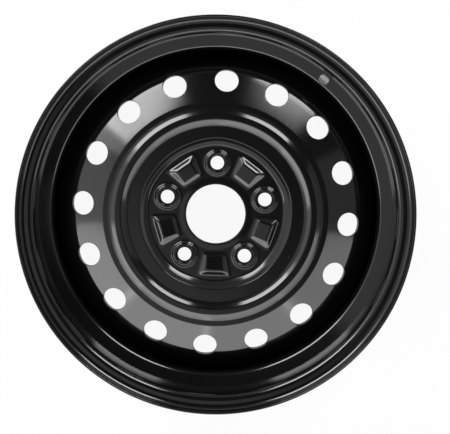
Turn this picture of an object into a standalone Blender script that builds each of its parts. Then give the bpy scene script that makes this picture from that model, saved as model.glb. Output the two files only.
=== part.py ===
"""Steel road wheel, 16 x 6.5 J: a rolled rim with a pressed disc welded inside it.

The wheel lies flat, street side up. Its axis is Z, and the origin is on the axis,
midway between the two flanges. Units are metres.
"""
import math

import bmesh
import bpy
from mathutils import Matrix, Vector

# Facets round every turned surface and hole, and the turn that one facet of a corner takes
ROUND_STEPS = 44
HOLE_STEPS = 12
PAD_CORNER_STEPS = 2
CORNER_TURN = math.radians(40.0)

# Rim, measured on the tyre side: width between the flanges and radius at the bead
RIM_WIDTH = 0.1651
BEAD_RADIUS = 0.2028
RIM_SHEET = 0.0025
SEAT_TAPER = math.radians(5.0)
SEAT_WIDTH = 0.0200
BEAD_CORNER = 0.0065

# Flange: a rolled lip, turned outwards
FLANGE_HEIGHT = 0.0175
FLANGE_CURL = 0.0095
FLANGE_LIP = 0.0127
LIP_DROOP = 0.0003

# Safety hump inside each bead seat
HUMP_RISE = 0.0012
HUMP_WIDTH = 0.0090

# Drop-centre well and car-side ledge, as depths below the bead radius, and the steep
# street-side wall between them; setbacks and lengths run inwards from the humps
WELL_DEPTH = 0.0173
WALL_SETBACK = 0.0125
WALL_LEAN = math.radians(25.0)
WALL_TOP_CORNER = 0.0088
WELL_CORNER = 0.0093
LEDGE_DEPTH = 0.0083
LEDGE_LENGTH = 0.0300
LEDGE_RUN = 0.0180
LEDGE_CORNER = 0.0140

# Valve hole, through the middle of the steep wall
VALVE_RADIUS = 0.00575
VALVE_ANGLE = math.radians(51.0)

# Disc: the sheet, the hub face and the bore
DISC_SHEET = 0.0038
OFFSET = 0.0540
BORE_RADIUS = 0.03305
LIP_HEIGHT = 0.0015
LIP_WIDTH = 0.0045
LIP_FOOT = 0.0022

# Step from the hub face up to the bowl, outside the pads, with a lobe beside each stud
HUB_MARGIN = 0.0056
STEP_RISE = 0.0074
STEP_RUN = 0.0090
STEP_CORNER = 0.0040
LOBE_REACH = 0.0022

# Crown: the bowl's wall, the crest, the outer slope and the flat shelf below it
BOWL_WIDTH = 0.0129
CROWN_RISE = 0.0040
CROWN_RUN = 0.0090
CROWN_CORNER = 0.0060
CREST_WIDTH = 0.0030
CREST_FALL = 0.0027
CREST_RUN = 0.0070
SHELF_WIDTH = 0.0075

# Cone that carries the hand holes; its share of the way from the shelf to the skirt
CONE_SHARE = 0.593
CONE_DROP = 0.01324
SHOULDER_CORNER = 0.0100
SKIRT_CORNER = 0.0130

# Hand holes, and their place as a share of the way down the cone
HAND_HOLES = 16
HAND_RADIUS = 0.01315
HAND_SHARE = 0.712
HAND_ANGLE = math.radians(85.27)

# Skirt pressed into the well: four long lobes with shallow scallops between them
FIT_GAP = 0.0003
SKIRT_SETBACK = 0.0100
SKIRT_HEIGHT = 0.0177
SKIRT_LOBES = 4
SCALLOP_DEPTH = 0.0090
SCALLOP_ANGLE = math.radians(51.0)

# Stud holes with raised, coned nut seats
STUDS = 5
STUD_CIRCLE = 0.05715
STUD_ANGLE = math.radians(88.2)
STUD_RADIUS = 0.00755
SEAT_FOOT = 0.0146
SEAT_TOP = 0.0120
SEAT_HEIGHT = 0.0026
CONE_HALF_ANGLE = math.radians(30.0)

# Raised pads pressed in the hub face between the studs, in and out from the stud circle
PAD_INWARD = 0.0132
PAD_OUTWARD = 0.01285
PAD_INNER_HALF = 0.0122
PAD_OUTER_HALF = 0.0170
PAD_INNER_RISE = 0.0030
PAD_OUTER_RISE = 0.0050
PAD_INNER_RAMP = 0.0058
PAD_OUTER_RAMP = 0.0085
PAD_SIDE_RAMP = 0.0042
PAD_EDGE = 0.0007
PAD_CORNER = 0.0050

# Weld beads between the skirt's lobes and the well; bead and pause in facets of the turn
WELDS_PER_LOBE = 2
WELD_LEG = 0.0040
WELD_CROWN = 0.62
WELD_FACETS = 3
WELD_PAUSE = 1

# How far a cutter or a joined shape runs past the surface it works on
OVERRUN = 0.0010

# Most of an edge that the corners at its two ends may take, and a length that is as good as none
ARC_SHARE = 0.95
NEGLIGIBLE = 0.000001

# Rim sizes that follow
HUMP_TOP = RIM_WIDTH / 2 - SEAT_WIDTH - HUMP_WIDTH / 2
SEAT_RADIUS = BEAD_RADIUS - SEAT_WIDTH * math.tan(SEAT_TAPER)
WELL_RADIUS = BEAD_RADIUS - WELL_DEPTH
WALL_TOP_RADIUS = SEAT_RADIUS + HUMP_RISE / 2
WALL_TOP = HUMP_TOP - WALL_SETBACK
LEDGE_TOP = LEDGE_LENGTH - HUMP_TOP
WELL_BOTTOM = LEDGE_TOP + LEDGE_RUN

# Disc sizes that follow
SKIRT_RADIUS = WELL_RADIUS - RIM_SHEET - FIT_GAP
SKIRT_BOTTOM = WELL_BOTTOM + SKIRT_SETBACK
HUB_FACE = OFFSET + DISC_SHEET
PAD_INNER = STUD_CIRCLE - PAD_INWARD
PAD_OUTER = STUD_CIRCLE + PAD_OUTWARD
STEP_RADIUS = PAD_OUTER + HUB_MARGIN
STEP_END = STEP_RADIUS + STEP_RUN
CROWN_FOOT = STEP_END + BOWL_WIDTH
CREST_INNER = CROWN_FOOT + CROWN_RUN
CREST_OUTER = CREST_INNER + CREST_WIDTH
SHELF_RADIUS = CREST_OUTER + CREST_RUN
CONE_TOP = SHELF_RADIUS + SHELF_WIDTH
CONE_WIDTH = CONE_SHARE * (SKIRT_RADIUS - CONE_TOP)
CONE_SLOPE = math.atan2(CONE_DROP, CONE_WIDTH)
SHELF = HUB_FACE + STEP_RISE + CROWN_RISE - CREST_FALL


def clear_scene():
    for thing in list(bpy.data.objects):
        bpy.data.objects.remove(thing, do_unlink=True)


def new_collection(name):
    collection = bpy.data.collections.new(name)
    bpy.context.scene.collection.children.link(collection)
    return collection


def new_material(name, colour, roughness, metallic):
    material = bpy.data.materials.new(name)
    material.use_nodes = True
    shader = material.node_tree.nodes["Principled BSDF"]
    shader.inputs["Base Color"].default_value = (*colour, 1.0)
    shader.inputs["Roughness"].default_value = roughness
    shader.inputs["Metallic"].default_value = metallic
    return material


def add_object(name, mesh, collection, material=None):
    thing = bpy.data.objects.new(name, mesh)
    if material:
        mesh.materials.append(material)
    collection.objects.link(thing)
    return thing


def as_guide(thing):
    """Keep a cutter or a section out of the model."""
    thing.hide_render = True
    thing.display_type = "WIRE"
    return thing


def corner_turn(before, here, after):
    """The turn of a path at a corner."""
    return math.pi - (before - here).angle(after - here)


def arc_reaches(points, radii):
    """How far each corner's arc reaches along its edges, limited by their lengths."""
    reaches = [0.0] * len(points)
    for index in range(1, len(points) - 1):
        turn = corner_turn(*points[index - 1:index + 2])
        reaches[index] = radii[index] * math.tan(turn / 2)
    fits = [
        ARC_SHARE * (after - before).length / max(first + second, NEGLIGIBLE)
        for before, after, first, second in zip(points, points[1:], reaches, reaches[1:])
    ]
    limits = [1.0] + [min(1.0, *pair) for pair in zip(fits, fits[1:])] + [1.0]
    return [reach * limit for reach, limit in zip(reaches, limits)]


def rounded(corners, corner_steps=None):
    """Turn corners (x, y, radius) into a path whose corners are arcs."""
    points = [Vector(corner[:2]) for corner in corners]
    reaches = arc_reaches(points, [corner[2] for corner in corners])
    path = [points[0]]
    for before, here, after, reach in zip(points, points[1:], points[2:], reaches[1:]):
        turn = corner_turn(before, here, after)
        if reach < NEGLIGIBLE:
            path.append(here)
            continue
        inward = (before - here).normalized()
        onward = (after - here).normalized()
        radius = reach / math.tan(turn / 2)
        centre = here + (inward + onward).normalized() * radius / math.cos(turn / 2)
        start = here + inward * reach - centre
        side = 1 if start.cross(here + onward * reach - centre) > 0 else -1
        steps = corner_steps or max(1, round(turn / CORNER_TURN))
        for step in range(steps + 1):
            angle = side * turn * step / steps
            path.append(centre + Matrix.Rotation(angle, 2) @ start)
    path.append(points[-1])
    return path


def turned(name, path, collection, material=None):
    """Turn a path of (radius, height) points about Z with a Screw modifier."""
    mesh = bpy.data.meshes.new(name)
    edges = [(step, step + 1) for step in range(len(path) - 1)]
    mesh.from_pydata([(point[0], 0.0, point[1]) for point in path], edges, [])
    thing = add_object(name, mesh, collection, material)
    screw = thing.modifiers.new("turn", "SCREW")
    screw.angle = math.tau
    screw.steps = screw.render_steps = ROUND_STEPS
    screw.use_merge_vertices = True
    screw.merge_threshold = 0.00001
    return thing


def apply_modifiers(thing):
    evaluated = thing.evaluated_get(bpy.context.evaluated_depsgraph_get())
    mesh = bpy.data.meshes.new_from_object(evaluated)
    thing.modifiers.clear()
    thing.data = mesh


def give_thickness(thing, thickness):
    """Thicken a sheet away from the side that its faces look to."""
    solidify = thing.modifiers.new("sheet", "SOLIDIFY")
    solidify.thickness = thickness
    solidify.offset = -1.0
    solidify.use_even_offset = True


def combine(thing, tool, operation):
    boolean = thing.modifiers.new(tool.name, "BOOLEAN")
    boolean.object = as_guide(tool)
    boolean.operation = operation
    boolean.solver = "EXACT"


def shade_round(thing):
    thing.data.shade_smooth()
    thing.data.set_sharp_from_angle(angle=math.radians(35.0))


def loft(rings):
    """Join closed rings, bottom to top, into one capped solid."""
    mesh = bmesh.new()
    rows = [[mesh.verts.new(point) for point in ring] for ring in rings]
    for lower, upper in zip(rows, rows[1:]):
        for here in range(len(lower)):
            after = (here + 1) % len(lower)
            mesh.faces.new((lower[here], lower[after], upper[after], upper[here]))
    mesh.faces.new(reversed(rows[0]))
    mesh.faces.new(rows[-1])
    return mesh


def circle(radius, height, steps=HOLE_STEPS):
    angles = [math.tau * step / steps for step in range(steps)]
    return [(radius * math.cos(a), radius * math.sin(a), height) for a in angles]


def ring_of(name, shape, count, first_angle, place, collection):
    """Set copies of one shape round the axis, as one object."""
    mesh = bpy.data.meshes.new(name)
    shape.to_mesh(mesh)
    shape.free()
    copies = bmesh.new()
    for copy in range(count):
        placed = mesh.copy()
        angle = first_angle + math.tau * copy / count
        placed.transform(Matrix.Rotation(angle, 4, "Z") @ place)
        copies.from_mesh(placed)
        bpy.data.meshes.remove(placed)
    copies.to_mesh(mesh)
    copies.free()
    return add_object(name, mesh, collection)


def flange_corners(side):
    """One flange, bead seat and hump, from the lip inwards; side is 1 or -1."""
    face = RIM_WIDTH / 2
    top = BEAD_RADIUS + FLANGE_HEIGHT
    corners = [
        (top - LIP_DROOP, face + FLANGE_LIP, 0.0),
        (top, face, FLANGE_CURL),
        (BEAD_RADIUS, face, BEAD_CORNER),
        (SEAT_RADIUS, face - SEAT_WIDTH, 0.0),
        (SEAT_RADIUS + HUMP_RISE, HUMP_TOP, 0.0),
    ]
    return [(radius, side * height, bend) for radius, height, bend in corners]


def wall_height(radius):
    """Height of the steep wall's tyre side at a radius."""
    return WALL_TOP - (WALL_TOP_RADIUS - radius) * math.tan(WALL_LEAN)


def make_rim(collection, cutters, material):
    well = [
        (WALL_TOP_RADIUS, WALL_TOP, WALL_TOP_CORNER),
        (WELL_RADIUS, wall_height(WELL_RADIUS), WELL_CORNER),
        (WELL_RADIUS, WELL_BOTTOM, WELL_CORNER),
        (BEAD_RADIUS - LEDGE_DEPTH, LEDGE_TOP, LEDGE_CORNER),
    ]
    corners = flange_corners(1) + well + flange_corners(-1)[::-1]
    rim = turned("rim", rounded(corners), collection, material)
    give_thickness(rim, RIM_SHEET)
    combine(rim, valve_cutter(cutters), "DIFFERENCE")
    shade_round(rim)


def valve_cutter(cutters):
    """A drill square to the steep wall, at its middle."""
    middle = (WALL_TOP_RADIUS + WELL_RADIUS) / 2
    depth = RIM_SHEET + 3 * OVERRUN
    shape = loft([circle(VALVE_RADIUS, -depth), circle(VALVE_RADIUS, depth)])
    place = Matrix.Translation((middle, 0.0, wall_height(middle)))
    place = place @ Matrix.Rotation(-WALL_LEAN, 4, "Y")
    return ring_of("valve_hole", shape, 1, VALVE_ANGLE, place, cutters)


def disc_corners():
    """The disc's street side, from the bore out to the end of the skirt."""
    bowl = HUB_FACE + STEP_RISE
    crest = bowl + CROWN_RISE
    lip_end = BORE_RADIUS + LIP_WIDTH
    return [
        (BORE_RADIUS, HUB_FACE + LIP_HEIGHT, 0.0),
        (lip_end, HUB_FACE + LIP_HEIGHT, 0.0),
        (lip_end + LIP_FOOT, HUB_FACE, 0.0),
        (STEP_RADIUS, HUB_FACE, STEP_CORNER),
        (STEP_END, bowl, STEP_CORNER),
        (CROWN_FOOT, bowl, CROWN_CORNER),
        (CREST_INNER, crest, CROWN_CORNER),
        (CREST_OUTER, crest, 0.0),
        (SHELF_RADIUS, SHELF, 0.0),
        (CONE_TOP, SHELF, 0.0),
        (CONE_TOP + CONE_WIDTH, SHELF - CONE_DROP, SHOULDER_CORNER),
        (SKIRT_RADIUS, SKIRT_BOTTOM + SKIRT_HEIGHT, SKIRT_CORNER),
        (SKIRT_RADIUS, SKIRT_BOTTOM, 0.0),
    ]


def press_lobes(disc):
    """Push the hub step outwards beside each stud and scallop the skirt's edge."""
    for vertex in disc.data.vertices:
        radius = math.hypot(vertex.co.x, vertex.co.y)
        angle = math.atan2(vertex.co.y, vertex.co.x)
        if STEP_RADIUS - STEP_CORNER < radius < STEP_END + STEP_CORNER:
            wave = (1 + math.cos(STUDS * (angle - STUD_ANGLE))) / 2
            stretch = 1 + LOBE_REACH * wave ** 3 / radius
            vertex.co.x *= stretch
            vertex.co.y *= stretch
        if vertex.co.z < SKIRT_BOTTOM + OVERRUN:
            wave = (1 + math.cos(SKIRT_LOBES * (angle - SCALLOP_ANGLE))) / 2
            vertex.co.z += SCALLOP_DEPTH * wave ** 2


def hand_hole_cutter(cutters):
    centre = (CONE_TOP + HAND_SHARE * CONE_WIDTH, 0.0, SHELF - HAND_SHARE * CONE_DROP)
    reach = CONE_DROP + DISC_SHEET
    shape = loft([circle(HAND_RADIUS, -reach), circle(HAND_RADIUS, reach)])
    place = Matrix.Translation(centre)
    place = place @ Matrix.Rotation(CONE_SLOPE, 4, "Y")
    return ring_of("hand_holes", shape, HAND_HOLES, HAND_ANGLE, place, cutters)


def at_studs(name, shape, cutters):
    place = Matrix.Translation((STUD_CIRCLE, 0.0, HUB_FACE))
    return ring_of(name, shape, STUDS, STUD_ANGLE, place, cutters)


def seat_boss(name, drop, cutters):
    """The raised collar of a nut seat, or its hollow side when dropped."""
    shape = loft([
        circle(SEAT_FOOT, -drop - OVERRUN),
        circle(SEAT_FOOT, -drop),
        circle(SEAT_TOP, SEAT_HEIGHT - drop),
    ])
    return at_studs(name, shape, cutters)


def stud_cutter(cutters):
    """The stud hole and the coned seat above it."""
    roof = SEAT_HEIGHT - DISC_SHEET
    rise = DISC_SHEET + OVERRUN
    mouth = STUD_RADIUS + rise * math.tan(CONE_HALF_ANGLE)
    shape = loft([
        circle(STUD_RADIUS, -DISC_SHEET - OVERRUN),
        circle(STUD_RADIUS, roof),
        circle(mouth, roof + rise),
    ])
    return at_studs("stud_holes", shape, cutters)


def pad_ring(inner, outer, inner_half, outer_half, inner_height, outer_height):
    """A pad's outline, X outwards, with rounded corners and a sloping top."""
    middle = (inner + outer) / 2
    half = (inner_half + outer_half) / 2
    outline = rounded([
        (middle, -half, 0.0),
        (outer, -outer_half, PAD_CORNER),
        (outer, outer_half, PAD_CORNER),
        (inner, inner_half, PAD_CORNER),
        (inner, -inner_half, PAD_CORNER),
        (middle, -half, 0.0),
    ], PAD_CORNER_STEPS)[:-1]
    slope = (outer_height - inner_height) / (outer - inner)
    return [(x, y, inner_height + slope * (x - inner)) for x, y in outline]


def pads(name, drop, cutters):
    """The raised pads between the studs, or their hollow side when dropped."""
    foot = (PAD_INNER, PAD_OUTER, PAD_INNER_HALF, PAD_OUTER_HALF)
    shoulder = (
        PAD_INNER + PAD_INNER_RAMP / 2,
        PAD_OUTER - PAD_OUTER_RAMP / 2,
        PAD_INNER_HALF - PAD_SIDE_RAMP / 2,
        PAD_OUTER_HALF - PAD_SIDE_RAMP / 2,
    )
    top = (
        PAD_INNER + PAD_INNER_RAMP,
        PAD_OUTER - PAD_OUTER_RAMP,
        PAD_INNER_HALF - PAD_SIDE_RAMP,
        PAD_OUTER_HALF - PAD_SIDE_RAMP,
    )
    base = HUB_FACE - drop
    shape = loft([
        pad_ring(*foot, base - OVERRUN, base - OVERRUN),
        pad_ring(*foot, base, base),
        pad_ring(*shoulder, base + PAD_INNER_RISE - PAD_EDGE, base + PAD_OUTER_RISE - PAD_EDGE),
        pad_ring(*top, base + PAD_INNER_RISE, base + PAD_OUTER_RISE),
    ])
    between = STUD_ANGLE + math.pi / STUDS
    return ring_of(name, shape, STUDS, between, Matrix.Identity(4), cutters)


def make_disc(collection, cutters, material):
    disc = turned("disc", rounded(disc_corners()), collection, material)
    apply_modifiers(disc)
    press_lobes(disc)
    give_thickness(disc, DISC_SHEET)
    combine(disc, seat_boss("nut_seats", 0.0, cutters), "UNION")
    combine(disc, pads("pads", 0.0, cutters), "UNION")
    combine(disc, seat_boss("seat_hollows", DISC_SHEET, cutters), "DIFFERENCE")
    combine(disc, pads("pad_hollows", DISC_SHEET, cutters), "DIFFERENCE")
    combine(disc, stud_cutter(cutters), "DIFFERENCE")
    combine(disc, hand_hole_cutter(cutters), "DIFFERENCE")
    shade_round(disc)


def make_weld(number, first, collection, material):
    """A fillet bead in the corner between the skirt's edge and the well."""
    outer = SKIRT_RADIUS
    top = SKIRT_BOTTOM - FIT_GAP
    crown = WELD_LEG * WELD_CROWN
    section = [
        (outer, top),
        (outer - WELD_LEG, top),
        (outer - crown, top - crown),
        (outer, top - WELD_LEG),
    ]
    rings = []
    for step in range(first, first + WELD_FACETS + 1):
        turn = math.tau * step / ROUND_STEPS
        rings.append([(r * math.cos(turn), r * math.sin(turn), z) for r, z in section])
    shape = loft(rings)
    bmesh.ops.recalc_face_normals(shape, faces=shape.faces)
    mesh = bpy.data.meshes.new(f"weld_{number}")
    shape.to_mesh(mesh)
    shape.free()
    weld = add_object(f"weld_{number}", mesh, collection, material)
    shade_round(weld)


def make_welds(collection, material):
    pitch = WELD_FACETS + WELD_PAUSE
    span = WELDS_PER_LOBE * pitch - WELD_PAUSE
    for lobe in range(SKIRT_LOBES):
        middle = SCALLOP_ANGLE / math.tau + (lobe + 0.5) / SKIRT_LOBES
        first = math.floor(ROUND_STEPS * middle - span / 2)
        for bead in range(WELDS_PER_LOBE):
            number = lobe * WELDS_PER_LOBE + bead + 1
            make_weld(number, first + bead * pitch, collection, material)


def main():
    clear_scene()
    wheel = new_collection("steel_wheel")
    cutters = new_collection("cutters")
    paint = new_material("black_paint", (0.012, 0.012, 0.013), 0.22, 0.0)
    make_rim(wheel, cutters, paint)
    make_disc(wheel, cutters, paint)
    make_welds(wheel, paint)


main()
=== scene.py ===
import math

import bpy
from mathutils import Matrix, Vector


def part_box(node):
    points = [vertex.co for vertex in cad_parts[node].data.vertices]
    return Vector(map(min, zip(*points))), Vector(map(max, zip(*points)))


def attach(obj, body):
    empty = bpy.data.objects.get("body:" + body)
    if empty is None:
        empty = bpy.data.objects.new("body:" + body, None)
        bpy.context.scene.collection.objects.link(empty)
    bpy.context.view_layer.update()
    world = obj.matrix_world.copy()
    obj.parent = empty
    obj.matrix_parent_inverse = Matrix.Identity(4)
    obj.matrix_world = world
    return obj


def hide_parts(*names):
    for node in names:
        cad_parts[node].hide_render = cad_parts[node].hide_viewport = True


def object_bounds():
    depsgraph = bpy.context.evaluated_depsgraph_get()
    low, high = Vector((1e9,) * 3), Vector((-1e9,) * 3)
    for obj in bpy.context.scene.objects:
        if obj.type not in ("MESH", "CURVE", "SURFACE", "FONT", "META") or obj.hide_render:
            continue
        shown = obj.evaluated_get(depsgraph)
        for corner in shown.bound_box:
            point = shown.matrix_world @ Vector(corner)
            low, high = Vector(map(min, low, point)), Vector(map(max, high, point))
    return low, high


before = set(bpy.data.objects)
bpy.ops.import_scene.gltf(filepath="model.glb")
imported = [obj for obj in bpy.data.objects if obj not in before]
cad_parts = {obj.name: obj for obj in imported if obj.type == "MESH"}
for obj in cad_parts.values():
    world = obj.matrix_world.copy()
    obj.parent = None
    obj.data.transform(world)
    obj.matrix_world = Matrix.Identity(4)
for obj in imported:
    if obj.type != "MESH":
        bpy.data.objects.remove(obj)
cadLow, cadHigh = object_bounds()
print("frame loaded:", ", ".join(sorted(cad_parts)))


# Node building, shared by the materials and the geometry trees

class Wire:  # a socket that takes part in Python sums
    def __init__(self, graph, socket):
        self.graph = graph
        self.socket = socket

    def also(self, name):  # another output of the same node
        return Wire(self.graph, self.socket.node.outputs[name])

    def __add__(self, other):
        return self.graph.maths("ADD", self, other)

    def __radd__(self, other):
        return self.graph.maths("ADD", other, self)

    def __sub__(self, other):
        return self.graph.maths("SUBTRACT", self, other)

    def __rsub__(self, other):
        return self.graph.maths("SUBTRACT", other, self)

    def __mul__(self, other):
        return self.graph.maths("MULTIPLY", self, other)

    def __rmul__(self, other):
        return self.graph.maths("MULTIPLY", other, self)

    def __truediv__(self, other):
        return self.graph.maths("DIVIDE", self, other)

    def __rtruediv__(self, other):
        return self.graph.maths("DIVIDE", other, self)

    def __pow__(self, other):
        return self.graph.maths("POWER", self, other)


class Graph:  # one node tree, for shading or for geometry
    def __init__(self, tree):
        self.tree = tree

    def node(self, kind, settings=None, sockets=None, out=0):
        made = self.tree.nodes.new(kind)
        for name, value in (settings or {}).items():
            setattr(made, name, value)
        for name, value in (sockets or {}).items():
            if isinstance(value, Wire):
                self.tree.links.new(value.socket, made.inputs[name])
            else:
                made.inputs[name].default_value = value
        return Wire(self, made.outputs[out]) if made.outputs else made

    def maths(self, operation, *values):
        return self.node("ShaderNodeMath", {"operation": operation}, dict(enumerate(values)))

    def split(self, vector):
        x = self.node("ShaderNodeSeparateXYZ", None, {0: vector})
        return x, x.also("Y"), x.also("Z")

    def join(self, x, y, z):
        return self.node("ShaderNodeCombineXYZ", None, {"X": x, "Y": y, "Z": z})

    def smooth(self, value, low, high):  # 0 at low, 1 at high, with soft ends
        settings = {"interpolation_type": "SMOOTHSTEP"}
        sockets = {"Value": value, "From Min": low, "From Max": high}
        return self.node("ShaderNodeMapRange", settings, sockets)


def newTree(name, inputs):  # a geometry tree; inputs are (name, kind)
    tree = bpy.data.node_groups.new(name, "GeometryNodeTree")
    for label, kind in [("Geometry", "Geometry")] + inputs:
        tree.interface.new_socket(label, in_out="INPUT", socket_type=f"NodeSocket{kind}")
    tree.interface.new_socket("Geometry", in_out="OUTPUT", socket_type="NodeSocketGeometry")
    graph = Graph(tree)
    given = tree.nodes.new("NodeGroupInput")
    graph.inputs = {s.name: Wire(graph, s) for s in given.outputs if s.name}
    return graph


def endTree(graph, geometry):  # every tree ends in real geometry with its material
    real = graph.node("GeometryNodeRealizeInstances", None, {"Geometry": geometry})
    painted = graph.node("GeometryNodeSetMaterial", None,
                         {"Geometry": real, "Material": graph.inputs["Material"]})
    graph.node("NodeGroupOutput", None, {"Geometry": painted})
    return graph.tree


def addObject(name, mesh):
    thing = bpy.data.objects.new(name, mesh)
    bpy.context.scene.collection.objects.link(thing)
    return thing


def bake(thing):  # what the modifiers make becomes the object's plain mesh
    graph = bpy.context.evaluated_depsgraph_get()
    mesh = bpy.data.meshes.new_from_object(thing.evaluated_get(graph), depsgraph=graph)
    thing.modifiers.clear()
    thing.data = mesh
    return thing


def runTree(name, tree, mesh, values):
    thing = addObject(name, mesh)
    modifier = thing.modifiers.new(tree.name, "NODES")
    modifier.node_group = tree
    for item in tree.interface.items_tree:
        if item.in_out == "INPUT" and item.name in values:
            modifier[item.identifier] = values[item.name]
    return bake(thing)


# Sections: corners are (across, up, radius of the bend)

def bend(before, here, after, reach, arcStep):  # the points of one rounded corner
    inward = (before - here).normalized()
    onward = (after - here).normalized()
    turn = math.pi - inward.angle(onward)
    radius = reach / math.tan(turn / 2)
    centre = here + (inward + onward).normalized() * radius / math.cos(turn / 2)
    start = here + inward * reach - centre
    side = 1 if start.cross(here + onward * reach - centre) > 0 else -1
    steps = max(2, math.ceil(turn / arcStep))
    return [centre + Matrix.Rotation(side * turn * k / steps, 2) @ start for k in range(steps + 1)]


def roundedLoop(corners, arcStep, spacing):  # a closed section; spacing says how long an edge may be
    straight, tiny, usable = 0.001, 1e-6, 0.96  # no bend below these; two bends leave 4% of an edge
    count = len(corners)
    points = [Vector(corner[:2]) for corner in corners]
    reaches = []
    for k, corner in enumerate(corners):
        turn = math.pi - (points[k - 1] - points[k]).angle(points[(k + 1) % count] - points[k])
        reaches.append(corner[2] * math.tan(turn / 2) if turn > straight else 0.0)
    limits = [1.0] * count
    for k in range(count):  # two corners share an edge
        after = (k + 1) % count
        room = usable * (points[after] - points[k]).length
        share = min(1.0, room / max(reaches[k] + reaches[after], tiny))
        limits[k] = min(limits[k], share)
        limits[after] = min(limits[after], share)
    loop = []
    for k, point in enumerate(points):
        reach = reaches[k] * limits[k]
        if reach > tiny:
            loop += bend(points[k - 1], point, points[(k + 1) % count], reach, arcStep)
        else:
            loop.append(point)
    fine = []
    for start, end in zip(loop, loop[1:] + loop[:1]):
        cuts = max(1, math.ceil((end - start).length / spacing(start.lerp(end, 0.5))))
        fine += [start.lerp(end, k / cuts) for k in range(cuts)]
    return fine


def sheetLoop(corners, thickness, edge, arcStep, spacing):  # the sheet lies to the right of the way
    points = [Vector(corner[:2]) for corner in corners]
    ways = [(end - start).normalized() for start, end in zip(points, points[1:])]
    face, back = [], []
    last = len(points) - 1
    for k, corner in enumerate(corners):
        before, after = ways[max(k - 1, 0)], ways[min(k, last - 1)]
        aside = Vector((before.y + after.y, -before.x - after.x))
        place = points[k] + thickness * aside / (1 + before.dot(after))
        inner = corner[2] + thickness if before.cross(after) > 0 else corner[2] - thickness
        isEnd = k in (0, last)
        face.append((*corner[:2], edge if isEnd else corner[2]))
        back.append((*place, edge if isEnd else max(inner, edge / 2)))
    return roundedLoop(face + back[::-1], arcStep, spacing)


def sectionMesh(name, loop, closed=True):
    mesh = bpy.data.meshes.new(name)
    edges = [(k, k + 1) for k in range(len(loop) - 1)]
    if closed:
        edges.append((len(loop) - 1, 0))
    mesh.from_pydata([(point[0], point[1], 0.0) for point in loop], edges, [])
    return mesh


def turnNodes(graph):  # turns the section that comes in about Z, on a ring of radius 1
    section = graph.node("GeometryNodeMeshToCurve", None, {"Mesh": graph.inputs["Geometry"]})
    section = graph.node("GeometryNodeTransform", None, {
        "Geometry": section, "Translation": (-1.0, 0.0, 0.0), "Scale": (1.0, -1.0, 1.0)})
    ring = graph.node("GeometryNodeCurvePrimitiveCircle", None,
                      {"Resolution": graph.inputs["Facets"], "Radius": 1.0})
    return graph.node("GeometryNodeCurveToMesh", None, {"Curve": ring, "Profile Curve": section})


def makeTurnTree():
    graph = newTree("turned section", [("Facets", "Int"), ("Material", "Material")])
    return endTree(graph, turnNodes(graph))


def makeRingTree():  # copies of one shape, set round the axis and leaned outwards
    graph = newTree("ring of copies", [
        ("Shape", "Object"), ("Count", "Int"), ("Radius", "Float"), ("Height", "Float"),
        ("Lean", "Float"), ("First Angle", "Float"), ("Material", "Material"),
    ])
    given = graph.inputs
    turn = graph.node("GeometryNodeInputIndex") * (math.tau / given["Count"]) + given["First Angle"]
    across = given["Radius"] * graph.maths("COSINE", turn)
    along = given["Radius"] * graph.maths("SINE", turn)
    placed = graph.node("GeometryNodePoints", None, {
        "Count": given["Count"], "Position": graph.join(across, along, given["Height"])})
    shape = graph.node("GeometryNodeObjectInfo", None, {"Object": given["Shape"]}, "Geometry")
    copies = graph.node("GeometryNodeInstanceOnPoints", None, {
        "Points": placed,
        "Instance": shape,
        "Rotation": graph.join(0.0, given["Lean"], turn),
    })
    return endTree(graph, copies)


def punchMesh(name, outline, facets):  # a closed round solid from (radius, height), bottom to top
    points, faces = [], []
    for radius, height in outline:
        turns = [math.tau * k / facets for k in range(facets)]
        points += [(radius * math.cos(a), radius * math.sin(a), height) for a in turns]
    for row in range(len(outline) - 1):
        for k in range(facets):
            here, after = row * facets + k, row * facets + (k + 1) % facets
            faces.append((here, after, after + facets, here + facets))
    faces.append(tuple(reversed(range(facets))))
    faces.append(tuple(range(len(points) - facets, len(points))))
    mesh = bpy.data.meshes.new(name)
    mesh.from_pydata(points, [], faces)
    return mesh


finishValues = {
    "sharpAngle": math.radians(40.0),  # an edge that turns more than this stays crisp
    "bendStep": math.radians(8.0),  # what one facet of a rounded bend turns
}


def cut(thing, punches):
    for punch in punches:
        boolean = thing.modifiers.new(punch.name, "BOOLEAN")
        boolean.operation = "DIFFERENCE"
        boolean.object = punch
        boolean.solver = "EXACT"
    bake(thing)
    for punch in punches:
        bpy.data.objects.remove(punch)


def finishPiece(thing, nodes, material):  # smooth faces, crisp edges, and its place on the frame
    mesh = thing.data
    mesh.materials.clear()
    mesh.materials.append(material)
    mesh.shade_smooth()
    mesh.set_sharp_from_angle(angle=finishValues["sharpAngle"])
    weighted = thing.modifiers.new("weighted normals", "WEIGHTED_NORMAL")
    weighted.keep_sharp = True
    bake(thing)
    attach(thing, "root")
    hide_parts(*nodes)
    print(thing.name, len(thing.data.polygons), "faces")


# Paint: gloss black dip coat over steel

paintValues = {
    "colour": 0.0042,
    "colourDrift": 0.0020,
    "roughness": 0.12,
    "roughnessDrift": 0.05,
    "driftSize": 0.06,
    "peelSize": 0.0016,
    "peelDepth": 0.000004,
    "waveSize": 0.035,
    "waveDepth": 0.00006,
    "speckSize": 0.0022,
    "speckFrom": 0.71,
    "speckTo": 0.79,
    "speckGrey": 0.04,
    "speckRoughness": 0.12,
    "blueShare": 1.06,
    "gloss": 1.6,
}


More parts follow.
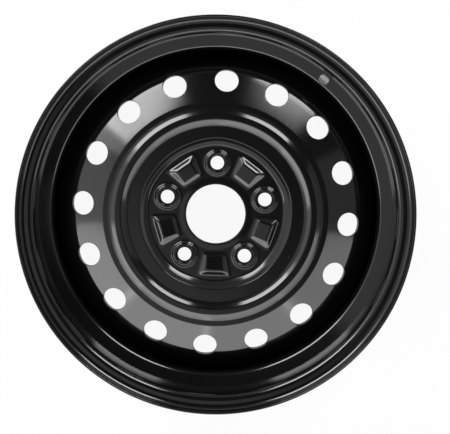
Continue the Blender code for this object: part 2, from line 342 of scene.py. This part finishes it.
def makePaint(name, values):
    material = bpy.data.materials.new(name)
    material.use_nodes = True
    material.node_tree.nodes.clear()
    graph = Graph(material.node_tree)
    place = graph.node("ShaderNodeTexCoord", None, None, "Object")

    def noise(size, detail):
        sockets = {"Vector": place, "Scale": 1.0 / size, "Detail": detail, "Roughness": 0.5}
        return graph.node("ShaderNodeTexNoise", None, sockets)

    drift = noise(values["driftSize"], 2.0)
    grain = noise(values["speckSize"], 3.0)
    specks = graph.smooth(grain, values["speckFrom"], values["speckTo"])
    grey = values["colour"] + values["colourDrift"] * (drift - 0.5) + values["speckGrey"] * specks
    colour = graph.node("ShaderNodeCombineColor", None,
                        {"Red": grey, "Green": grey, "Blue": grey * values["blueShare"]})
    roughness = values["roughness"] + values["roughnessDrift"] * (drift - 0.5)
    roughness = roughness + values["speckRoughness"] * specks
    wave = graph.node("ShaderNodeBump", None, {
        "Height": noise(values["waveSize"], 1.0),
        "Distance": values["waveDepth"],
        "Strength": 1.0,
    })
    peel = graph.node("ShaderNodeBump", None, {
        "Height": noise(values["peelSize"], 1.5),
        "Distance": values["peelDepth"],
        "Strength": 1.0,
        "Normal": wave,
    })
    shader = graph.node("ShaderNodeBsdfPrincipled", None, {
        "Base Color": colour,
        "Roughness": roughness,
        "Metallic": 0.0,
        "IOR": values["gloss"],
        "Normal": peel,
    })
    graph.node("ShaderNodeOutputMaterial", None, {"Surface": shader})
    return material


# Rim: a rolled band with two flanges, bead seats, humps, a drop-centre well and a valve hole

rimSizes = {
    "width": 0.1651,
    "beadRadius": 0.2028,
    "sheet": 0.0025,
    "sheetEdge": 0.0010,
    "flangeHeight": 0.0175,
    "flangeCurl": 0.0095,
    "flangeLip": 0.0127,
    "lipDroop": 0.0003,
    "beadCorner": 0.0048,
    "seatWidth": 0.0200,
    "seatTaper": math.radians(5.0),
    "humpRise": 0.0012,
    "humpWidth": 0.0090,
    "humpBend": 0.0080,
    "wellDepth": 0.0173,
    "wallSetback": 0.0125,
    "wallLean": math.radians(23.0),
    "wallTopBend": 0.0026,
    "wallFootBend": 0.0045,
    "wellBend": 0.0093,
    "ledgeDepth": 0.0083,
    "ledgeLength": 0.0300,
    "ledgeRun": 0.0180,
    "ledgeBend": 0.0140,
    "facets": 320,
    "spacing": 0.006,
    "valveRadius": 0.00575,
    "valveAngle": math.radians(51.0),
    "valveEdge": 0.0006,
    "valveEdgeWaist": 0.3,  # the edge's middle point, in shares of the edge
    "valveEdgeRise": 0.4,
    "valveFacets": 48,
    "valveReach": 0.006,  # how far the punch stands out of the sheet
}


def rimPlaces(sizes):  # radii and heights that follow from the sizes
    seatRadius = sizes["beadRadius"] - sizes["seatWidth"] * math.tan(sizes["seatTaper"])
    humpTop = sizes["width"] / 2 - sizes["seatWidth"] - sizes["humpWidth"] / 2
    wallTopRadius = seatRadius + sizes["humpRise"] / 2
    wellRadius = sizes["beadRadius"] - sizes["wellDepth"]
    wallTop = humpTop - sizes["wallSetback"]
    return {
        "seatRadius": seatRadius,
        "humpTop": humpTop,
        "wallTopRadius": wallTopRadius,
        "wallTop": wallTop,
        "wellRadius": wellRadius,
        "wellTop": wallTop - (wallTopRadius - wellRadius) * math.tan(sizes["wallLean"]),
        "ledgeTop": sizes["ledgeLength"] - humpTop,
    }


def rimCorners(sizes, places):
    face = sizes["width"] / 2
    top = sizes["beadRadius"] + sizes["flangeHeight"]
    flange = [
        (top - sizes["lipDroop"], face + sizes["flangeLip"], 0.0),
        (top, face, sizes["flangeCurl"]),
        (sizes["beadRadius"], face, sizes["beadCorner"]),
        (places["seatRadius"], face - sizes["seatWidth"], sizes["humpBend"]),
        (places["seatRadius"] + sizes["humpRise"], places["humpTop"], sizes["humpBend"]),
    ]
    middle = [
        (places["wallTopRadius"], places["wallTop"], sizes["wallTopBend"]),
        (places["wellRadius"], places["wellTop"], sizes["wallFootBend"]),
        (places["wellRadius"], places["ledgeTop"] + sizes["ledgeRun"], sizes["wellBend"]),
        (sizes["beadRadius"] - sizes["ledgeDepth"], places["ledgeTop"], sizes["ledgeBend"]),
    ]
    below = [(radius, -height, turn) for radius, height, turn in reversed(flange)]
    return flange + middle + below


def makeRim(sizes, trees, paint):
    places = rimPlaces(sizes)
    loop = sheetLoop(rimCorners(sizes, places), sizes["sheet"], sizes["sheetEdge"],
                     finishValues["bendStep"], lambda point: sizes["spacing"])
    rim = runTree("steel_rim", trees["turn"], sectionMesh("rim section", loop),
                  {"Facets": sizes["facets"], "Material": paint})
    edge, radius, half = sizes["valveEdge"], sizes["valveRadius"], sizes["sheet"] / 2
    waist, rise = edge * sizes["valveEdgeWaist"], edge * sizes["valveEdgeRise"]
    upper = [(radius, half - edge), (radius + waist, half - rise), (radius + edge, half),
             (radius + edge, half + sizes["valveReach"])]
    lower = [(across, -up) for across, up in reversed(upper)]
    punch = addObject("valve punch", punchMesh("valve punch", lower + upper, sizes["valveFacets"]))
    middle = (places["wallTopRadius"] + places["wellRadius"]) / 2
    height = (places["wallTop"] + places["wellTop"]) / 2
    # the corners give the tyre side, and the punch is centred in the sheet
    across = middle - half * math.sin(sizes["wallLean"])
    up = height + half * math.cos(sizes["wallLean"])
    holes = runTree("valve hole", trees["ring"], bpy.data.meshes.new("valve hole"), {
        "Shape": punch, "Count": 1, "Radius": across, "Height": up,
        "Lean": -sizes["wallLean"], "First Angle": sizes["valveAngle"], "Material": paint,
    })
    bpy.data.objects.remove(punch)
    cut(rim, [holes])
    finishPiece(rim, ["rim"], paint)
    return rim


# Disc: one pressed sheet, from the bore out to the skirt

discSizes = {
    "sheet": 0.0038,
    "sheetEdge": 0.0008,
    "offset": 0.0540,
    "boreRadius": 0.03305,
    "lipHeight": 0.0008,
    "lipWidth": 0.0032,
    "lipFoot": 0.0036,
    "lipBend": 0.0060,
    "hubMargin": 0.0063,
    "stepRun": 0.0046,
    "stepSlope": math.radians(37.5),
    "stepFootBend": 0.0030,
    "stepSteepRun": 0.0041,
    "stepSteepSlope": math.radians(43.0),
    "stepHeadBend": 0.0014,
    "lobeReach": 0.0012,
    "lobeSharpness": 3.0,
    "lobeStart": -0.0045,  # from the step's foot
    "lobeFull": 0.0020,
    "lobeFade": -0.0005,  # from the step's head
    "lobeEnd": 0.0050,
    "bowlWidth": 0.0143,
    "crownRun": 0.0034,
    "crownSlope": math.radians(24.5),
    "crownFootBend": 0.0022,
    "crownSteepRun": 0.0040,
    "crownSteepSlope": math.radians(29.5),
    "crownBend": 0.0030,
    "crestWidth": 0.0062,
    "crestBend": 0.0022,
    "crestRun": 0.0042,
    "crestSlope": math.radians(24.0),
    "crestEasyRun": 0.0036,
    "crestEasySlope": math.radians(19.5),
    "shelfWidth": 0.0054,
    "shelfBend": 0.0022,
    "wallBend": 0.0200,
    "coneShare": 0.587,  # of the way from the cone's top to the skirt
    "coneDrop": 0.01291,
    "shoulderBend": 0.0100,
    "skirtBend": 0.0130,
    "skirtHeight": 0.0177,
    "skirtSetback": 0.0100,
    "fitGap": -0.0001,  # the skirt is pressed into the well
    "scallops": 4,
    "scallopDepth": 0.0090,
    "scallopAngle": math.radians(51.0),
    "scallopSharpness": 2.0,
    "scallopShare": 0.8,
    "scallopStart": -0.010,  # from the skirt's face
    "scallopFull": -0.006,
    "facets": 320,
    "hubSpacing": 0.0013,
    "outerSpacing": 0.0055,
    "handHoles": 16,
    "handRadius": 0.01315,
    "handShare": 0.705,  # of the way down the cone
    "handAngle": math.radians(85.27),
    "handEdge": 0.0009,
    "handFacets": 72,
    "punchReach": 0.009,  # how far a punch stands out of the sheet
    "studs": 5,
    "studCircle": 0.05715,
    "studAngle": math.radians(88.2),
    "studRadius": 0.00755,
    "studEdge": 0.0006,
    "studFacets": 56,
    "seatFoot": 0.0146,
    "seatTop": 0.0120,
    "seatHeight": 0.0026,
    "seatToe": 0.0004,
    "coneHalfAngle": math.radians(30.0),
    "coneTip": 0.0005,
    "mouthLip": 0.0004,  # from the cone's mouth outwards
    "mouthFlare": 0.0016,
    "mouthWide": 0.0030,
    "mouthReach": 0.006,
    "padInward": 0.0132,
    "padOutward": 0.0122,
    "padInnerHalf": 0.0122,
    "padOuterHalf": 0.0186,
    "padInnerRise": 0.0026,
    "padOuterRise": 0.0042,
    "padInnerRamp": 0.0050,
    "padOuterRamp": 0.0058,
    "padSideSlope": math.radians(29.0),
    "padRampBlend": 0.5,
    "padFootBlend": 0.10,
    "padCrestBlend": 0.10,
}


def discPlaces(sizes, rim):
    hubFace = sizes["offset"] + sizes["sheet"]
    padInner = sizes["studCircle"] - sizes["padInward"]
    padOuter = sizes["studCircle"] + sizes["padOutward"]
    step = padOuter + sizes["hubMargin"]
    stepMiddle = step + sizes["stepRun"]
    stepEnd = stepMiddle + sizes["stepSteepRun"]
    stepLow = hubFace + sizes["stepRun"] * math.tan(sizes["stepSlope"])
    bowl = stepLow + sizes["stepSteepRun"] * math.tan(sizes["stepSteepSlope"])
    crownFoot = stepEnd + sizes["bowlWidth"]
    crownMiddle = crownFoot + sizes["crownRun"]
    crest = crownMiddle + sizes["crownSteepRun"]
    crownLow = bowl + sizes["crownRun"] * math.tan(sizes["crownSlope"])
    crestTop = crownLow + sizes["crownSteepRun"] * math.tan(sizes["crownSteepSlope"])
    crestEnd = crest + sizes["crestWidth"]
    crestMiddle = crestEnd + sizes["crestRun"]
    crestLow = crestTop - sizes["crestRun"] * math.tan(sizes["crestSlope"])
    shelfStart = crestMiddle + sizes["crestEasyRun"]
    shelf = crestLow - sizes["crestEasyRun"] * math.tan(sizes["crestEasySlope"])
    coneTop = shelfStart + sizes["shelfWidth"]
    skirtRadius = rimPlaces(rim)["wellRadius"] - rim["sheet"] - sizes["fitGap"]
    skirtBottom = rimPlaces(rim)["ledgeTop"] + rim["ledgeRun"] + sizes["skirtSetback"]
    coneWidth = sizes["coneShare"] * (skirtRadius - coneTop)
    return {
        "hubFace": hubFace, "padInner": padInner, "padOuter": padOuter,
        "step": step, "stepMiddle": stepMiddle, "stepLow": stepLow, "stepEnd": stepEnd,
        "bowl": bowl, "crownFoot": crownFoot, "crownMiddle": crownMiddle, "crownLow": crownLow,
        "crest": crest, "crestTop": crestTop, "crestEnd": crestEnd, "crestMiddle": crestMiddle,
        "crestLow": crestLow, "shelfStart": shelfStart, "shelf": shelf,
        "coneTop": coneTop, "coneWidth": coneWidth, "coneEnd": coneTop + coneWidth,
        "coneLow": shelf - sizes["coneDrop"], "skirtRadius": skirtRadius,
        "coneSlope": math.atan2(sizes["coneDrop"], coneWidth), "skirtBottom": skirtBottom,
    }


def discCorners(sizes, places):
    lipEnd = sizes["boreRadius"] + sizes["lipWidth"]
    return [
        (sizes["boreRadius"], places["hubFace"] + sizes["lipHeight"], 0.0),
        (lipEnd, places["hubFace"] + sizes["lipHeight"], sizes["lipBend"]),
        (lipEnd + sizes["lipFoot"], places["hubFace"], sizes["lipBend"]),
        (places["step"], places["hubFace"], sizes["stepFootBend"]),
        (places["stepMiddle"], places["stepLow"], sizes["wallBend"]),
        (places["stepEnd"], places["bowl"], sizes["stepHeadBend"]),
        (places["crownFoot"], places["bowl"], sizes["crownFootBend"]),
        (places["crownMiddle"], places["crownLow"], sizes["wallBend"]),
        (places["crest"], places["crestTop"], sizes["crownBend"]),
        (places["crestEnd"], places["crestTop"], sizes["crestBend"]),
        (places["crestMiddle"], places["crestLow"], sizes["wallBend"]),
        (places["shelfStart"], places["shelf"], sizes["shelfBend"]),
        (places["coneTop"], places["shelf"], sizes["shelfBend"]),
        (places["coneEnd"], places["coneLow"], sizes["shoulderBend"]),
        (places["skirtRadius"], places["skirtBottom"] + sizes["skirtHeight"], sizes["skirtBend"]),
        (places["skirtRadius"], places["skirtBottom"], 0.0),
    ]


def makePressTree(sizes, places):  # turns the section, then presses seats, pads, lobes and scallops
    graph = newTree("pressed disc", [
        ("Facets", "Int"), ("Stud Circle", "Float"), ("Stud Angle", "Float"),
        ("Seat Foot", "Float"), ("Seat Top", "Float"), ("Seat Height", "Float"),
        ("Pad Inner", "Float"), ("Pad Outer", "Float"), ("Lobe Reach", "Float"),
        ("Scallop Depth", "Float"), ("Scallop Angle", "Float"), ("Material", "Material"),
    ])
    given = graph.inputs
    disc = turnNodes(graph)
    x, y, z = graph.split(graph.node("GeometryNodeInputPosition"))
    radius = graph.maths("SQRT", x * x + y * y)
    azimuth = graph.maths("ARCTAN2", y, x)
    sector = math.pi / sizes["studs"]
    fromStud = graph.maths("WRAP", azimuth - given["Stud Angle"], sector, -sector)
    fromPad = graph.maths("WRAP", fromStud + sector, sector, -sector)

    # nut seats: the sheet rises from the seat's foot to its top
    across = radius * graph.maths("COSINE", fromStud) - given["Stud Circle"]
    along = radius * graph.maths("SINE", fromStud)
    away = graph.maths("SQRT", across * across + along * along)
    toe = given["Seat Foot"] + sizes["seatToe"]
    seat = given["Seat Height"] * graph.smooth(away, toe, given["Seat Top"])

    # pads between the studs: a top that rises outwards, with a ramp on each of four sides
    outward = radius * graph.maths("COSINE", fromPad)
    sideways = graph.maths("ABSOLUTE", radius * graph.maths("SINE", fromPad))
    spread = (sizes["padOuterHalf"] - sizes["padInnerHalf"]) / (places["padOuter"] - places["padInner"])
    half = sizes["padInnerHalf"] + spread * (outward - given["Pad Inner"])
    topRun = places["padOuter"] - sizes["padOuterRamp"] - places["padInner"] - sizes["padInnerRamp"]
    slope = (sizes["padOuterRise"] - sizes["padInnerRise"]) / topRun
    top = sizes["padInnerRise"] + slope * (outward - given["Pad Inner"] - sizes["padInnerRamp"])
    inside = (outward - given["Pad Inner"]) / sizes["padInnerRamp"]
    outside = (given["Pad Outer"] - outward) / sizes["padOuterRamp"]
    beside = (half - sideways) * math.tan(sizes["padSideSlope"]) / top
    edge = graph.maths("SMOOTH_MIN", inside, beside, sizes["padRampBlend"])
    edge = graph.maths("SMOOTH_MIN", edge, outside, sizes["padRampBlend"])
    raised = graph.maths("SMOOTH_MAX", edge, 0.0, sizes["padFootBlend"])
    pad = top * graph.maths("SMOOTH_MIN", raised, 1.0, sizes["padCrestBlend"])

    # lobes: the step reaches further out beside each stud
    wave = 0.5 + 0.5 * graph.maths("COSINE", sizes["studs"] * fromStud)
    foot, head = places["step"], places["stepEnd"]
    window = graph.smooth(radius, foot + sizes["lobeStart"], foot + sizes["lobeFull"])
    fading = graph.smooth(radius, head + sizes["lobeEnd"], head + sizes["lobeFade"])
    reach = given["Lobe Reach"] * window * fading * wave ** sizes["lobeSharpness"]

    # scallops: the skirt's edge is cut back between its lobes
    scallop = 0.5 + 0.5 * graph.maths("COSINE", sizes["scallops"] * (azimuth - given["Scallop Angle"]))
    start = places["skirtBottom"] + sizes["scallopShare"] * sizes["skirtHeight"]
    low = graph.smooth(z, start, places["skirtBottom"])
    skirt = places["skirtRadius"]
    low = low * graph.smooth(radius, skirt + sizes["scallopStart"], skirt + sizes["scallopFull"])
    lift = given["Scallop Depth"] * low * scallop ** sizes["scallopSharpness"]

    offset = graph.join(reach * x / radius, reach * y / radius, seat + pad + lift)
    pressed = graph.node("GeometryNodeSetPosition", None, {"Geometry": disc, "Offset": offset})
    return endTree(graph, pressed)


def makeHandPunch(sizes):  # opens out where it meets each face of the sheet
    radius, edge = sizes["handRadius"], sizes["handEdge"]
    arc = [math.radians(a) for a in (0, 22, 45, 66)]
    flare = [(radius + edge * (1 - math.cos(a)), edge * (1 - math.sin(a))) for a in arc]
    rise = [(across, -deep) for across, deep in flare]
    fall = [(across, deep - sizes["sheet"]) for across, deep in reversed(flare)]
    bottom = (radius + edge, -sizes["sheet"] - sizes["punchReach"])
    top = (radius + edge, sizes["punchReach"])
    outline = [bottom] + fall + rise + [top]
    return addObject("hand punch", punchMesh("hand punch", outline, sizes["handFacets"]))


def makeStudPunch(sizes):  # a straight hole with a coned seat on the street side
    radius, edge, seat = sizes["studRadius"], sizes["studEdge"], sizes["seatHeight"]
    slope = math.tan(sizes["coneHalfAngle"])
    mouth = radius + sizes["sheet"] * slope
    outline = [
        (radius + edge, -sizes["punchReach"]), (radius + edge, -sizes["sheet"]),
        (radius, edge - sizes["sheet"]), (radius, seat - sizes["sheet"]),
        (mouth - sizes["coneTip"] * slope, seat - sizes["coneTip"]),
        (mouth + sizes["mouthLip"], seat),
        (mouth + sizes["mouthFlare"], seat + edge),
        (mouth + sizes["mouthWide"], seat + sizes["mouthReach"]),
    ]
    return addObject("stud punch", punchMesh("stud punch", outline, sizes["studFacets"]))


def makeDisc(sizes, rim, trees, paint):
    places = discPlaces(sizes, rim)

    def spacing(point):
        return sizes["hubSpacing"] if point.x < places["stepEnd"] else sizes["outerSpacing"]

    loop = sheetLoop(discCorners(sizes, places), sizes["sheet"], sizes["sheetEdge"],
                     finishValues["bendStep"], spacing)
    disc = runTree("steel_disc", makePressTree(sizes, places), sectionMesh("disc section", loop), {
        "Facets": sizes["facets"], "Stud Circle": sizes["studCircle"], "Stud Angle": sizes["studAngle"],
        "Seat Foot": sizes["seatFoot"], "Seat Top": sizes["seatTop"], "Seat Height": sizes["seatHeight"],
        "Pad Inner": places["padInner"], "Pad Outer": places["padOuter"], "Lobe Reach": sizes["lobeReach"],
        "Scallop Depth": sizes["scallopDepth"], "Scallop Angle": sizes["scallopAngle"],
        "Material": paint,
    })
    handPunch = makeHandPunch(sizes)
    coneHeight = places["shelf"] - sizes["handShare"] * sizes["coneDrop"]
    handHoles = runTree("hand holes", trees["ring"], bpy.data.meshes.new("hand holes"), {
        "Shape": handPunch, "Count": sizes["handHoles"],
        "Radius": places["coneTop"] + sizes["handShare"] * places["coneWidth"], "Height": coneHeight,
        "Lean": places["coneSlope"], "First Angle": sizes["handAngle"], "Material": paint,
    })
    studPunch = makeStudPunch(sizes)
    studHoles = runTree("stud holes", trees["ring"], bpy.data.meshes.new("stud holes"), {
        "Shape": studPunch, "Count": sizes["studs"], "Radius": sizes["studCircle"],
        "Height": places["hubFace"], "Lean": 0.0, "First Angle": sizes["studAngle"], "Material": paint,
    })
    for punch in (handPunch, studPunch):
        bpy.data.objects.remove(punch)
    cut(disc, [handHoles, studHoles])
    finishPiece(disc, ["disc"], paint)
    return disc


# Weld beads between the skirt and the well, with the ripples of the moving torch

weldSizes = {
    "radius": 0.0026,
    "inset": 0.0012,
    "ripple": 0.00022,
    "ripplePitch": 0.0021,
    "unevenness": 0.0006,
    "unevenScale": 180.0,
    "tipShare": 0.05,
    "tipSize": 0.06,
    "points": 120,
    "facets": 20,
    "seed": 7,
}


def makeWeldTree(sizes):  # a rod that follows the corner, thin at its ends, with ripples
    graph = newTree("weld bead", [
        ("Arc Radius", "Float"), ("Height", "Float"), ("First Angle", "Float"),
        ("Sweep", "Float"), ("Bead Radius", "Float"), ("Ripple", "Float"),
        ("Ripple Pitch", "Float"), ("Seed", "Int"), ("Material", "Material"),
    ])
    given = graph.inputs
    arc = graph.node("GeometryNodeCurveArc", {"mode": "RADIUS"}, {
        "Resolution": sizes["points"], "Radius": given["Arc Radius"],
        "Start Angle": given["First Angle"], "Sweep Angle": given["Sweep"],
    })
    arc = graph.node("GeometryNodeTransform", None, {
        "Geometry": arc, "Translation": graph.join(0.0, 0.0, given["Height"])})
    share = graph.node("GeometryNodeSplineParameter")
    end = graph.maths("MINIMUM", share, 1.0 - share)
    length = share.also("Length")
    ripple = graph.maths("SINE", length * (math.tau / given["Ripple Pitch"]))
    uneven = graph.node("ShaderNodeTexNoise", {"noise_dimensions": "1D"}, {
        "W": length * sizes["unevenScale"] + given["Seed"], "Scale": 1.0, "Detail": 1.0})
    thick = given["Bead Radius"] + given["Ripple"] * ripple + sizes["unevenness"] * (uneven - 0.5)
    tip = graph.smooth(end, 0.0, sizes["tipShare"])
    tipped = graph.maths("SQRT", sizes["tipSize"] + (1.0 - sizes["tipSize"]) * tip)
    arc = graph.node("GeometryNodeSetCurveRadius", None, {"Curve": arc, "Radius": thick * tipped})
    ring = graph.node("GeometryNodeCurvePrimitiveCircle", None,
                      {"Resolution": sizes["facets"], "Radius": 1.0})
    scale = graph.node("GeometryNodeInputRadius")
    bead = graph.node("GeometryNodeCurveToMesh", None, {
        "Curve": arc, "Profile Curve": ring, "Scale": scale, "Fill Caps": True})
    return endTree(graph, bead)


def makeWelds(sizes, rim, disc, paint):
    tree = makeWeldTree(sizes)
    well = rimPlaces(rim)["wellRadius"] - rim["sheet"]
    bottom = discPlaces(disc, rim)["skirtBottom"]
    for node in sorted(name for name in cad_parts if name.startswith("weld")):
        low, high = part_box(node)
        middle = (low + high) / 2
        turn = math.atan2(middle.y, middle.x)
        corners = [Vector(v.co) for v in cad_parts[node].data.vertices]
        angles = [math.remainder(math.atan2(c.y, c.x) - turn, math.tau) for c in corners]
        bead = runTree(f"bead_{node}", tree, bpy.data.meshes.new(node), {
            "Arc Radius": well - sizes["inset"], "Height": bottom - sizes["inset"],
            "First Angle": turn + min(angles), "Sweep": max(angles) - min(angles),
            "Bead Radius": sizes["radius"], "Ripple": sizes["ripple"],
            "Ripple Pitch": sizes["ripplePitch"], "Seed": sizes["seed"] + int(node[-1]),
            "Material": paint,
        })
        finishPiece(bead, [node], paint)


# Studio: pale floor with a low sweep, softboxes above, camera over the street side

studioValues = {
    "floorColour": 0.86,
    "floorRoughness": 0.9,
    "floorWhite": 0.93,
    "floorGap": 0.0005,
    "floorFacets": 96,
    "pinhole": 0.0001,  # radius at which the floor starts
    "sweepRadius": 6.0,
    "sweepHeight": 1.25,
    "sweepBend": 0.9,
    "sweepStep": math.radians(6.0),
    "skyDark": 0.012,
    "skyRim": 0.22,
    "skyRimLow": math.radians(66.0),
    "skyRimHigh": math.radians(42.0),
    "skyGlow": 0.50,
    "glowAzimuth": math.radians(225.0),
    "glowStart": 0.04,
    "glowEnd": 0.15,
    "lampDistance": 2.4,
}

# each softbox: from and to azimuth, from and to polar angle, in degrees, and radiance
softboxes = {
    "key": (110, 144, 42, 66, 9.8),
    "keySide": (144, 154, 44, 62, 2.4),
    "second": (42, 70, 44, 66, 9.5),
    "left": (154, 191, 44, 62, 0.7),
    "lowerLeft": (193, 228, 46, 66, 3.7),
    "lower": (228, 266, 47, 64, 3.3),
    "lowerMiddle": (266, 304, 47, 64, 2.6),
    "lowerRight": (304, 342, 46, 64, 2.5),
    "right": (342, 380, 36, 60, 0.28),
}


def makeFloor(values, trees):
    material = bpy.data.materials.new("floor")
    material.use_nodes = True
    material.node_tree.nodes.clear()
    graph = Graph(material.node_tree)
    grey = (values["floorColour"],) * 3 + (1.0,)
    plain = graph.node("ShaderNodeBsdfPrincipled", None,
                       {"Base Color": grey, "Roughness": values["floorRoughness"]})
    white = graph.node("ShaderNodeEmission", None, {"Color": (1.0, 1.0, 1.0, 1.0), "Strength": 1.0})
    path = graph.node("ShaderNodeLightPath", None, None, "Is Camera Ray")
    seen = graph.maths("MAXIMUM", path, path.also("Is Glossy Ray"))
    seen = graph.maths("MAXIMUM", seen, path.also("Is Transmission Ray"))
    lit = graph.node("ShaderNodeMixShader", None,
                     {"Fac": seen * values["floorWhite"], 1: plain, 2: white})
    below = graph.node("ShaderNodeNewGeometry", None, None, "Backfacing")
    clear = graph.node("ShaderNodeBsdfTransparent")  # from below, the floor hides nothing
    both = graph.node("ShaderNodeMixShader", None, {"Fac": below, 1: lit, 2: clear})
    graph.node("ShaderNodeOutputMaterial", None, {"Surface": both})
    ground = cadLow.z - values["floorGap"]
    outer, height, turn = values["sweepRadius"], values["sweepHeight"], values["sweepBend"]
    rise = bend(Vector((0.0, 0.0)), Vector((outer, 0.0)), Vector((outer, height)), turn,
                values["sweepStep"])
    line = [Vector((values["pinhole"], 0.0))] + rise + [Vector((outer, height))]
    line = [point + Vector((0.0, ground)) for point in line]
    floor = runTree("floor", trees["turn"], sectionMesh("sweep", line, closed=False),
                    {"Facets": values["floorFacets"], "Material": material})
    floor.data.shade_smooth()


def makeLamps(values):
    away = values["lampDistance"]
    for name, (azimuth1, azimuth2, polar1, polar2, radiance) in softboxes.items():
        a, halfA = math.radians(azimuth1 + azimuth2) / 2, math.radians(azimuth2 - azimuth1) / 2
        t, halfT = math.radians(polar1 + polar2) / 2, math.radians(polar2 - polar1) / 2
        lamp = bpy.data.lights.new(name, "AREA")
        lamp.shape = "RECTANGLE"
        lamp.size = 2 * away * math.sin(t) * math.tan(halfA)
        lamp.size_y = 2 * away * math.tan(halfT)
        lamp.energy = math.pi * radiance * lamp.size * lamp.size_y
        way = Vector((math.sin(t) * math.cos(a), math.sin(t) * math.sin(a), math.cos(t)))
        right = Vector((0.0, 0.0, 1.0)).cross(way).normalized()
        turn = Matrix((right, way.cross(right), way)).transposed().to_4x4()
        thing = addObject(name, lamp)
        thing.matrix_world = Matrix.Translation(away * way) @ turn
        thing.visible_camera = False


def makeSky(values):  # dark overhead, pale near the floor, with a soft glow towards the lower left
    world = bpy.data.worlds.new("studio")
    world.use_nodes = True
    world.node_tree.nodes.clear()
    graph = Graph(world.node_tree)
    x, y, z = graph.split(graph.node("ShaderNodeTexCoord", None, None, "Generated"))
    aside = x * math.cos(values["glowAzimuth"]) + y * math.sin(values["glowAzimuth"])
    glow = values["skyGlow"] * graph.smooth(aside, values["glowStart"], values["glowEnd"])
    low = graph.smooth(z, math.cos(values["skyRimHigh"]), math.cos(values["skyRimLow"]))
    level = glow + values["skyDark"] + values["skyRim"] * low
    sky = graph.node("ShaderNodeBackground", None,
                     {"Color": (1.0, 1.0, 1.0, 1.0), "Strength": level})
    graph.node("ShaderNodeOutputWorld", None, {"Surface": sky})
    bpy.context.scene.world = world


cameraValues = {
    "sensor": 36.0,
    "near": 0.05,
    "far": 20.0,
    "distance": 1.756,
    "elevation": math.radians(5.3),
    "lens": 121.5,
    "aim": (0.0107, -0.0092, 0.0),
}


def makeCamera(values):
    camera = bpy.data.cameras.new("camera")
    camera.sensor_width = values["sensor"]
    camera.lens = values["lens"]
    camera.clip_start, camera.clip_end = values["near"], values["far"]
    tilt = values["elevation"]
    eye = values["distance"] * Vector((0.0, math.sin(tilt), math.cos(tilt)))
    back = (eye - Vector(values["aim"])).normalized()
    right = Vector((0.0, 1.0, 0.0)).cross(back).normalized()
    up = back.cross(right)
    thing = addObject("camera", camera)
    thing.matrix_world = Matrix.Translation(eye) @ Matrix((right, up, back)).transposed().to_4x4()
    bpy.context.scene.camera = thing


bpy.context.scene.view_settings.view_transform = "Standard"
makeCamera(cameraValues)
sharedTrees = {"turn": makeTurnTree(), "ring": makeRingTree()}
makeFloor(studioValues, sharedTrees)
makeLamps(studioValues)
makeSky(studioValues)
print("studio ready")
blackPaint = makePaint("black_paint", paintValues)
makeRim(rimSizes, sharedTrees, blackPaint)
makeDisc(discSizes, rimSizes, sharedTrees, blackPaint)
makeWelds(weldSizes, rimSizes, discSizes, blackPaint)
print("wheel ready")
